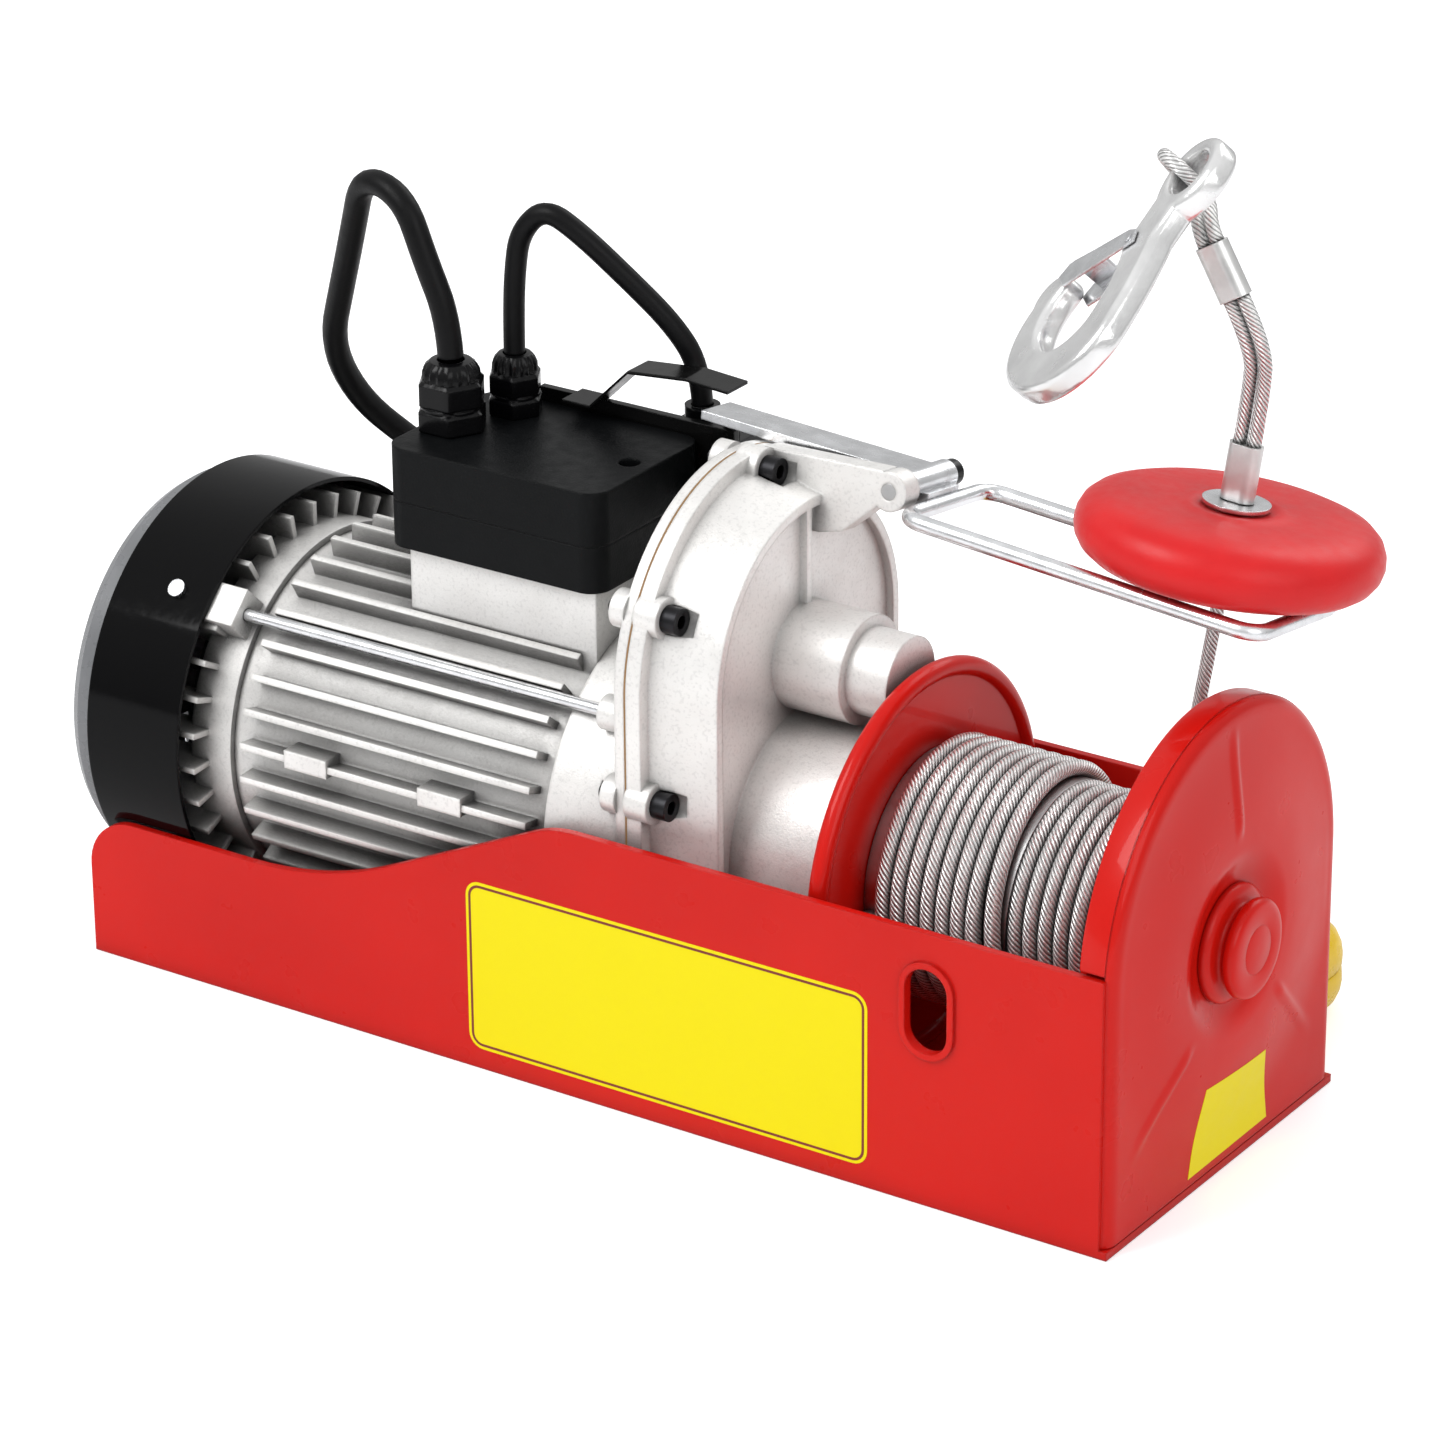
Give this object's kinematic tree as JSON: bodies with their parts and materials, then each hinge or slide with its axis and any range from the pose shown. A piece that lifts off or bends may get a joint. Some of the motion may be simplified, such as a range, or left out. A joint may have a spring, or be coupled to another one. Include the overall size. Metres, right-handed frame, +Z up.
{
  "type": "electric wire rope hoist",
  "caption": "Small electric wire rope hoist on a folded steel channel, with geared motor, rope drum, stop weight, safety hook, limit lever and pendant control.",
  "frame": {"origin": "centre of the four base bolt holes, on the underside of the mounting channel", "axes": "+X along the drum axis towards the drum end, +Z up from the mounting face"},
  "size_m": [0.4867, 0.3234, 0.3563],
  "materials": {
    "red_paint": "gloss",
    "black_paint": "gloss",
    "black_cowl": "gloss",
    "grey_cowl": "satin",
    "cast_aluminium": "cast",
    "aluminium": "satin",
    "zinc": "plated",
    "steel": "machined",
    "core_steel": "laminated",
    "rope": "stranded",
    "black_oxide": "black oxide",
    "copper": "enamelled wire",
    "gasket_paper": "paper",
    "capacitor_shell": "satin",
    "black_plastic": "satin",
    "white_plastic": "satin",
    "yellow_plastic": "gloss",
    "green_plastic": "gloss",
    "red_plastic": "gloss",
    "red_rubber": "satin",
    "black_rubber": "matt"
  },
  "bodies": {
    "frame": {"base_channel": "red_paint", "drum_end_cap": "red_paint", "end_hub": "red_paint", "bearings": "steel", "socket_screws": "black_oxide", "cover_screws": "zinc", "tie_rods": "zinc", "motor_body": "cast_aluminium", "rear_shield": "cast_aluminium", "front_shield": "cast_aluminium", "gear_case": "cast_aluminium", "gasket": "gasket_paper", "stator_core": "core_steel", "stator_windings": "copper", "fan_cowl": "black_cowl", "fan_guard": "grey_cowl", "pivot_pin": "steel", "pin_cap": "black_plastic", "limit_bracket": "black_paint", "limit_switch": "black_plastic", "leaf_strip": "black_paint", "terminal_box": "black_plastic", "terminal_lid": "black_plastic", "cable_glands": "black_plastic", "run_capacitor": "capacitor_shell", "terminal_block": "white_plastic", "pendant_shell": "yellow_plastic", "pendant_grommet": "black_rubber", "contact_block": "white_plastic", "pendant_cable": "black_rubber", "cable_coil": "black_rubber", "pendant_lead": "black_rubber", "limit_cable": "black_rubber"},
    "rotor_set": {"rotor": "core_steel", "rotor_shaft": "steel", "cooling_fan": "black_plastic"},
    "counter_set": {"counter_gear": "steel", "counter_shaft": "steel"},
    "drum_set": {"drum": "red_paint", "drum_gear": "steel", "drum_shaft": "steel", "rope_inner_layers": "rope", "rope_lower_layer": "rope", "rope_outer_layer": "rope"},
    "load_end": {"rope_free": "rope", "weight_washer": "zinc", "ferrules": "aluminium", "rope_tail": "rope", "rope_eye": "rope"},
    "weight_set": {"stop_weight": "red_rubber"},
    "hook_set": {"hook_body": "zinc", "latch_pin": "zinc"},
    "latch_set": {"hook_latch": "zinc"},
    "lever_set": {"limit_lever": "zinc", "lever_loop": "zinc"},
    "plunger_set": {"limit_plunger": "black_plastic"},
    "up_set": {"up_button": "green_plastic"},
    "down_set": {"down_button": "white_plastic"},
    "stop_set": {"stop_button": "red_plastic"}
  },
  "joints": [
    {"name": "rotor_spin", "type": "hinge", "parent": "frame", "child": "rotor_set", "pos_m": [-0.092, 0, 0.088], "axis": [1, 0, 0], "range_deg": [0, 9216]},
    {"name": "counter_spin", "type": "hinge", "parent": "frame", "child": "counter_set", "pos_m": [0.03, 0, 0.155], "axis": [1, 0, 0], "range_deg": [-1441, 1]},
    {"name": "drum_spin", "type": "hinge", "parent": "frame", "child": "drum_set", "pos_m": [0.15, 0, 0.088], "axis": [1, 0, 0], "range_deg": [-1, 361]},
    {"name": "hook_travel", "type": "slide", "parent": "frame", "child": "load_end", "axis": [0, 0, 1], "range_m": [0, 0.284], "deforming": ["rope_free"]},
    {"name": "weight_turn", "type": "hinge", "parent": "load_end", "child": "weight_set", "pos_m": [0.19251, 0.04274, 0.2158], "axis": [0.0785, 0.1491, 0.9857], "continuous": true},
    {"name": "hook_swing", "type": "hinge", "parent": "load_end", "child": "hook_set", "pos_m": [0.1757, 0.044, 0.342], "axis": [0.5624, 0.4821, -0.6718], "range_deg": [-35, 35]},
    {"name": "latch_hinge", "type": "hinge", "parent": "hook_set", "child": "latch_set", "pos_m": [0.1642, 0.0269, 0.3201], "axis": [0.5624, 0.4821, -0.6718], "range_deg": [-28, 0], "stiffness_Nm_per_rad": 0.02, "springref_deg": 5.73},
    {"name": "lever_tilt", "type": "hinge", "parent": "frame", "child": "lever_set", "pos_m": [0.076, 0.018, 0.2181], "axis": [0, 0.9888, -0.1495], "range_deg": [0, 2], "stiffness_Nm_per_rad": 1, "springref_deg": -5.73},
    {"name": "plunger_slide", "type": "slide", "parent": "frame", "child": "plunger_set", "axis": [0, 0, 1], "range_m": [-0.001, 0.006]},
    {"name": "up_press", "type": "slide", "parent": "frame", "child": "up_set", "axis": [0, 0, -1], "range_m": [0, 0.0025], "stiffness_N_per_m": 600, "springref_m": -0.001},
    {"name": "down_press", "type": "slide", "parent": "frame", "child": "down_set", "axis": [0, 0, -1], "range_m": [0, 0.0025], "stiffness_N_per_m": 600, "springref_m": -0.001},
    {"name": "stop_press", "type": "slide", "parent": "frame", "child": "stop_set", "axis": [0, 0, -1], "range_m": [0, 0.0025], "stiffness_N_per_m": 600, "springref_m": -0.001}
  ],
  "couplings": [
    {"joint": "counter_spin", "follows": "rotor_spin", "ratio": -0.15625},
    {"joint": "drum_spin", "follows": "rotor_spin", "ratio": 0.039062},
    {"joint": "hook_travel", "follows": "rotor_spin", "m_per_rad": 0.0017578},
    {"joint": "plunger_slide", "follows": "lever_tilt", "m_per_rad": 0.0829}
  ]
}
